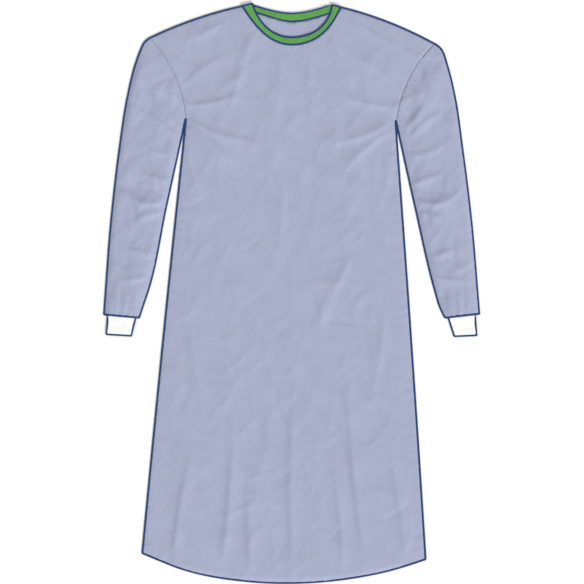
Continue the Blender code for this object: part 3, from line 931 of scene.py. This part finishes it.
def add_cuff(side):
    """A rib-knit tube: ribs run from the sleeve to the free end, all the way round."""
    (start_in, start_out), (end_in, end_out) = cuff_corners(side)
    count = RIBS * POINTS_PER_RIB
    rib = RIB_DEPTH / 2 * np.cos(np.linspace(0, 2 * pi * RIBS, count, endpoint=False))
    outer, inner = [], []
    for share in np.linspace(0, 1, CUFF_STATIONS):
        out_of_sleeve = ramp((share - CUFF_LEAVES) / CUFF_LEAVES_OVER)
        base = CUFF_BASE_INSIDE * (1 - out_of_sleeve) + CUFF_BASE * out_of_sleeve
        height = CUFF_HEIGHT_INSIDE + (CUFF_HEIGHT - CUFF_HEIGHT_INSIDE) * out_of_sleeve
        wave = CUFF_WAVE * np.sin(share * CUFF_WAVE_TURN)
        first = start_in + (end_in - start_in) * share
        last = start_out + (end_out - start_out) * share
        points, outward = cuff_ring(first, last, base, height + wave, count)
        outer.append(points + outward * (rib - RIB_DEPTH / 2)[:, None])
        inner.append(points - outward * (KNIT + RIB_DEPTH / 2 - rib / 2)[:, None])
    rings = np.array(outer + inner[::-1] + outer[:1])
    total = len(rings) - 1
    ring, step = np.meshgrid(np.arange(total), np.arange(count), indexing="ij")
    after, beside = (ring + 1) % total, (step + 1) % count
    corners = [ring * count + step, ring * count + beside, after * count + beside, after * count + step]
    faces = np.stack(corners, axis=-1).reshape(-1, 4).tolist()
    made = add_mesh(f"knit_cuff_{side}", rings[:-1].reshape(-1, 3), faces, materials["knit"])
    outward_normals(made)
    return made


RIBS = 40
POINTS_PER_RIB = 6
RIB_DEPTH = 0.0005
KNIT = 0.0006
CUFF_STATIONS = 30
CUFF_LEAVES = 0.15  # share of its length where it starts to swell out of the sleeve
CUFF_LEAVES_OVER = 0.30
CUFF_WAVE = 0.0003
CUFF_WAVE_TURN = 9  # radians from end to end
CUFF_BASE = 0.0001
CUFF_BASE_INSIDE = 0.0012
CUFF_HEIGHT = 0.0030
CUFF_HEIGHT_INSIDE = 0.0022
CUFF_SERGE_WIDTH = 0.0048
CUFF_SERGE_HEIGHT = 0.0038
CUFF_SERGE_START = 0.12  # the part inside the sleeve has none


def cuff_threads(side):
    """The serged sides and free end of a cuff."""
    (start_in, start_out), (end_in, end_out) = cuff_corners(side)
    middle = (start_in + start_out + end_in + end_out) / 4
    first_in = start_in + (end_in - start_in) * CUFF_SERGE_START
    first_out = start_out + (end_out - start_out) * CUFF_SERGE_START
    cords = []
    for start, end in ((first_in, end_in), (first_out, end_out), (end_in, end_out)):
        line = longer(smooth_curve(np.array([start, end]), step=THREAD_STEP))
        left = plan_left(line)
        inward = np.sign(left[0] @ (middle - start))
        line = line + left * inward * (CUFF_SERGE_WIDTH / 2 - SERGE_OVERHANG)
        line[:, 2] = CUFF_SERGE_HEIGHT / 2 + CUFF_BASE
        cords.append(upright(line, left, CUFF_SERGE_WIDTH, CUFF_SERGE_HEIGHT))
    return cords


# Neckband


def band_run(loop):
    """(neck side, cloth side) of one run of the tape, from right to left."""
    right, left = extreme(loop, -1, -0.1), extreme(loop, 1, -0.1)
    cloth_side = stretch(loop, right, left)
    neck_side = stretch(loop, left + 1, right - 1)[::-1]
    return [neck_side, cloth_side]


def band_fold(front_run, end):
    """(neck side, cloth side) of the line where the tape folds over, and the way out over it."""
    neck, cloth = front_run[0][end], front_run[1][end]
    over = np.array([cloth[1] - neck[1], neck[0] - cloth[0], 0.0])
    over /= np.linalg.norm(over) * np.sign(over[1])
    return [neck - over * CAD_BULGE, cloth - over * CAD_BULGE], over


def band_stretch(run, folds, count):
    """A run between its folds, smoothed, at the middle of the tape."""
    made = []
    for i, edge in enumerate(run):
        clear = np.ones(len(edge), bool)
        for fold, _ in folds:
            clear &= np.linalg.norm(edge[:, :2] - fold[i][:2], axis=1) > 2 * CAD_BULGE
        kept = list(edge[clear])
        for end, (fold, _) in folds_by_end(edge, folds):
            level = kept[end][2]
            kept.insert(0 if end == 0 else len(kept), np.array([*fold[i][:2], level]))
        line = smooth_curve(np.array(kept), count=count)
        line[:, 2] = np.maximum(line[:, 2] - CAD_TAPE / 2, BAND_LEAST)
        made.append(line)
    return made


def folds_by_end(edge, folds):
    """Which end of the edge each fold is at: 0 or -1."""
    return [(0 if fold[1][0] * edge[0, 0] > 0 else -1, (fold, over)) for fold, over in folds]


def band_bend(before, after, over):
    """The half turn over a fold, from the end of one run to the start of the next."""
    made = []
    for start, end in zip(before, after):
        first, last = start[-1], end[0]
        turn = np.linspace(0, pi, BEND_STATIONS + 2)[1:-1, None]
        radius = abs(first[2] - last[2]) / 2
        middle, half = (first + last) / 2, (first - last) / 2
        made.append(middle + half * np.cos(turn) + over * radius * np.sin(turn))
    return made


def neckband_edges():
    """(neck side, cloth side) of the whole tape, from the outer back's end to the inner's."""
    front, inner_back, outer_back = [band_run(loop) for loop in upper_loops("neckband")]
    right, left = band_fold(front, 0), band_fold(front, -1)
    first = [edge[::-1] for edge in band_stretch(outer_back, [right], BACK_STATIONS)]
    second = band_stretch(front, [right, left], FRONT_STATIONS)
    third = [edge[::-1] for edge in band_stretch(inner_back, [left], BACK_STATIONS)]
    parts = [first, band_bend(first, second, right[1]), second]
    parts += [band_bend(second, third, left[1]), third]
    return [np.vstack([part[i] for part in parts]) for i in (0, 1)]


def neckband_frame():
    """The tape's middle line, half width, and unit vectors across it and out of its face."""
    neck_side, cloth_side = neckband_edges()
    middle = (neck_side + cloth_side) / 2
    across = cloth_side - neck_side
    half_width = np.linalg.norm(across, axis=1)[:, None] / 2
    across /= 2 * half_width
    along = np.gradient(middle, axis=0)
    face = np.cross(across, along)
    face /= np.linalg.norm(face, axis=1)[:, None]
    return middle, half_width, across, face


def add_neckband():
    """The folded tape, whose thickness ripples a little along it."""
    middle, half_width, across, face = neckband_frame()
    turn = np.linspace(0, 2 * pi, BAND_AROUND, endpoint=False)
    wide, thick = (rounded(share, BAND_SQUARENESS) for share in (np.cos(turn), np.sin(turn)))
    along = lengths(middle)[:, None]
    drift = BAND_RIPPLE_DRIFT * np.sin(along * 90)
    ripple = 1 + BAND_RIPPLE * np.sin(2 * pi * along / BAND_RIPPLE_PITCH + drift)
    side = (wide[None] * half_width)[..., None] * across[:, None]
    rise = (thick[None] * TAPE / 2 * ripple)[..., None] * face[:, None]
    rings = middle[:, None] + side + rise
    made = add_mesh("neck_binding", rings.reshape(-1, 3), tube_faces(rings), materials["tape"])
    outward_normals(made)
    return made


def neckband_threads():
    """The serged edges of the tape, on its neck side and its cloth side."""
    middle, half_width, across, face = neckband_frame()
    cords = []
    for side in (-1, 1):
        inset = half_width + BAND_SERGE_OVERHANG - BAND_SERGE_WIDTH / 2
        line = middle + side * across * inset
        count = round(lengths(line)[-1] / THREAD_STEP)
        at, knots = np.linspace(0, 1, count), lengths(line) / lengths(line)[-1]
        fine = [resampled(values, knots, at) for values in (line, across, face)]
        cords.append((*fine, BAND_SERGE_WIDTH / 2, BAND_SERGE_HEIGHT / 2))
    cords += [fold_cord(middle, half_width, across, face, i) for i in neckband_crowns(middle)]
    return cords


def neckband_crowns(middle):
    """Indices of the tape's outermost point over each shoulder."""
    return [int(np.argmin(middle[:, 0] - middle[:, 1])), int(np.argmax(middle[:, 0] + middle[:, 1]))]


def fold_cord(middle, half_width, across, face, crown):
    """The shoulder's serging where it runs on over the tape's fold."""
    reach = half_width[crown] + BAND_SERGE_OVERHANG
    ends = middle[crown] + np.array([-1, 1])[:, None] * across[crown] * reach
    line = smooth_curve(ends, step=THREAD_STEP)
    out = np.tile(face[crown], (len(line), 1))
    out[:, 2] = 0
    out /= np.linalg.norm(out, axis=1)[:, None]
    line = line - out * FOLD_CORD_INSET + (0, 0, FOLD_CORD_RISE)
    return upright(line, out, SERGE_WIDTH, FOLD_CORD_HEIGHT)


def resampled(values, knots, at):
    return np.column_stack([np.interp(at, knots, column) for column in values.T])


FOLD_CORD_INSET = -0.0005
FOLD_CORD_RISE = 0.0008
FOLD_CORD_HEIGHT = 0.0050
CAD_TAPE = 0.0014
CAD_BULGE = 0.0024  # how far the tape's fold stands out past the line that it turns on
BAND_LEAST = 0.00105
BEND_STATIONS = 9
FRONT_STATIONS = 220
BACK_STATIONS = 120
BAND_AROUND = 16
BAND_SQUARENESS = 0.6
BAND_RIPPLE = 0.10
BAND_RIPPLE_PITCH = 0.011
BAND_RIPPLE_DRIFT = 1.5


# Stage


def add_stage():
    """A pale floor, a soft key light, a pale world for fill, and the camera straight above."""
    shape = bmesh.new()
    bmesh.ops.create_grid(shape, x_segments=1, y_segments=1, size=FLOOR_HALF)
    mesh = bpy.data.meshes.new("floor")
    shape.to_mesh(mesh)
    shape.free()
    mesh.materials.append(materials["floor"])
    floor = bpy.data.objects.new("floor", mesh)
    bpy.context.scene.collection.objects.link(floor)

    for name, strength, angle, height, azimuth in SUNS:
        light = bpy.data.lights.new(name, "SUN")
        light.energy = strength
        light.angle = radians(angle)
        sun = bpy.data.objects.new(name, light)
        sun.rotation_euler = (radians(90 - height), 0, radians(azimuth))
        bpy.context.scene.collection.objects.link(sun)

    world = bpy.data.worlds.new("studio")
    world.use_nodes = True
    background = world.node_tree.nodes["Background"]
    background.inputs["Color"].default_value = (1, 1, 1, 1)
    background.inputs["Strength"].default_value = WORLD_STRENGTH
    bpy.context.scene.world = world
    bpy.context.scene.view_settings.view_transform = "Standard"

    low, high = (np.array(corner) for corner in cad_box)
    middle = (low + high) / 2
    frame_width = (high[1] - low[1]) * FRAME_MARGIN
    lens = bpy.data.cameras.new("camera")
    lens.lens = LENS
    lens.sensor_width = SENSOR
    lens.clip_end = FAR
    camera = bpy.data.objects.new("camera", lens)
    distance = frame_width * LENS / SENSOR
    camera.location = (middle[0] + AIM[0], middle[1] + AIM[1], middle[2] + distance)
    bpy.context.scene.collection.objects.link(camera)
    bpy.context.scene.camera = camera


FLOOR_HALF = 30.0
SUNS = [  # name, strength, angle of softness, height over the floor, azimuth
    ("key", 2.46, 16, 33, 38),
    ("fill", 0.43, 40, 50, -130),
]
WORLD_STRENGTH = 0.515
LENS = 200
SENSOR = 36
FAR = 100
FRAME_MARGIN = 1.007
AIM = (0.0007, 0.0032)


# The gown

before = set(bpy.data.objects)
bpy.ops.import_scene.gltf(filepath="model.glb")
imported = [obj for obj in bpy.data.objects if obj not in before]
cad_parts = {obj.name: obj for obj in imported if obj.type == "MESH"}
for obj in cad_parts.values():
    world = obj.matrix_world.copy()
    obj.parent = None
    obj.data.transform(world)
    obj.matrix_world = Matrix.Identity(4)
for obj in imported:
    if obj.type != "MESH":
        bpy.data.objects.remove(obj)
cad_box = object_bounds()

materials = {
    "cloth": cloth_material(),
    "tape": tape_material(),
    "knit": knit_material(),
    "thread": thread_material(),
    "floor": floor_material(),
}

front = front_edges()
plan, triangles = flat_cloth(list(front.values()), FRONT_CELL)
levels = front_heights(plan, triangles, front)
sleeves = {}
for side in SIDES:
    upper, lower = sleeve_layers(side)
    armhole = sleeve_edges(side)["armhole"]
    levels, upper_levels = brought_together(plan, levels, upper[0], upper[2], armhole)
    sleeves[side] = [(upper[0], upper[1], upper_levels), lower]
front_cloth = add_cloth("front_panel", [(plan, triangles, levels)], materials["cloth"])
front_thread = add_thread("front_serging", [
    serged(front["hem"], 1),
    serged(front["side_left"], 1),
    serged(front["side_right"], 1),
    serged(front["shoulder_left"], 1, end=TO_BAND),
    serged(front["shoulder_right"], 1, start=TO_BAND),
])
pieces = [(front_cloth, "front", "cloth"), (front_thread, None, "cloth")]
both_backs = ["back_panel_left", "back_panel_right"]
sheets = [(front_cloth, cut(list(front.values())), both_backs, [front_thread])]

for side, sign in SIDES.items():
    edges = back_edges(side)
    plan, triangles = flat_cloth(list(edges.values()), BACK_CELL)
    levels = back_heights(side, plan, triangles, edges)
    back = add_cloth(f"back_panel_{side}", [(plan, triangles, levels)], materials["cloth"])
    sleeve = add_cloth(f"sleeve_cloth_{side}", sleeves[side], materials["cloth"])
    seams = sleeve_edges(side)
    cords = [serged(seams["underarm"], sign), serged(seams["overarm"], -sign)]
    for (plan, _, levels), height in zip(sleeves[side], (SERGE_HEIGHT, LOW_SERGE_HEIGHT)):
        on_cloth = (plan, np.maximum(levels + CLOTH / 2, height / 2 + BACK_LEAST))
        cords.append(serged(seams["hem"], sign, height, on_cloth))
    sleeve_thread = add_thread(f"sleeve_serging_{side}", cords)
    cuff = add_cuff(side)
    cuff_thread = add_thread(f"cuff_serging_{side}", cuff_threads(side))
    pieces += [(back, f"back_{side}", "cloth"), (sleeve, f"sleeve_{side}", "cloth")]
    pieces += [(sleeve_thread, None, "cloth")]
    pieces += [(cuff, f"cuff_{side}", "knit"), (cuff_thread, None, "knit")]
    under_back = "floor" if side == OUTER_BACK else f"back_panel_{OUTER_BACK}"
    sheets += [
        (back, cut(list(edges.values())), [under_back], []),
        (sleeve, cut(around_sleeve(seams), plies=2), ["floor"], [sleeve_thread]),
        (cuff, cut([cuff_outline(side)], plies=2), ["floor"], [cuff_thread]),
    ]

binding = add_neckband()
binding_thread = add_thread("binding_serging", neckband_threads())
pieces += [(binding, "neckband", "tape"), (binding_thread, None, "tape")]
sheets.append((binding, tape_cut(), ["front_panel"], [binding_thread]))

for piece, node_name, slot in pieces:
    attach(piece, "root")
    if node_name:
        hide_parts(node_name)

add_stage()
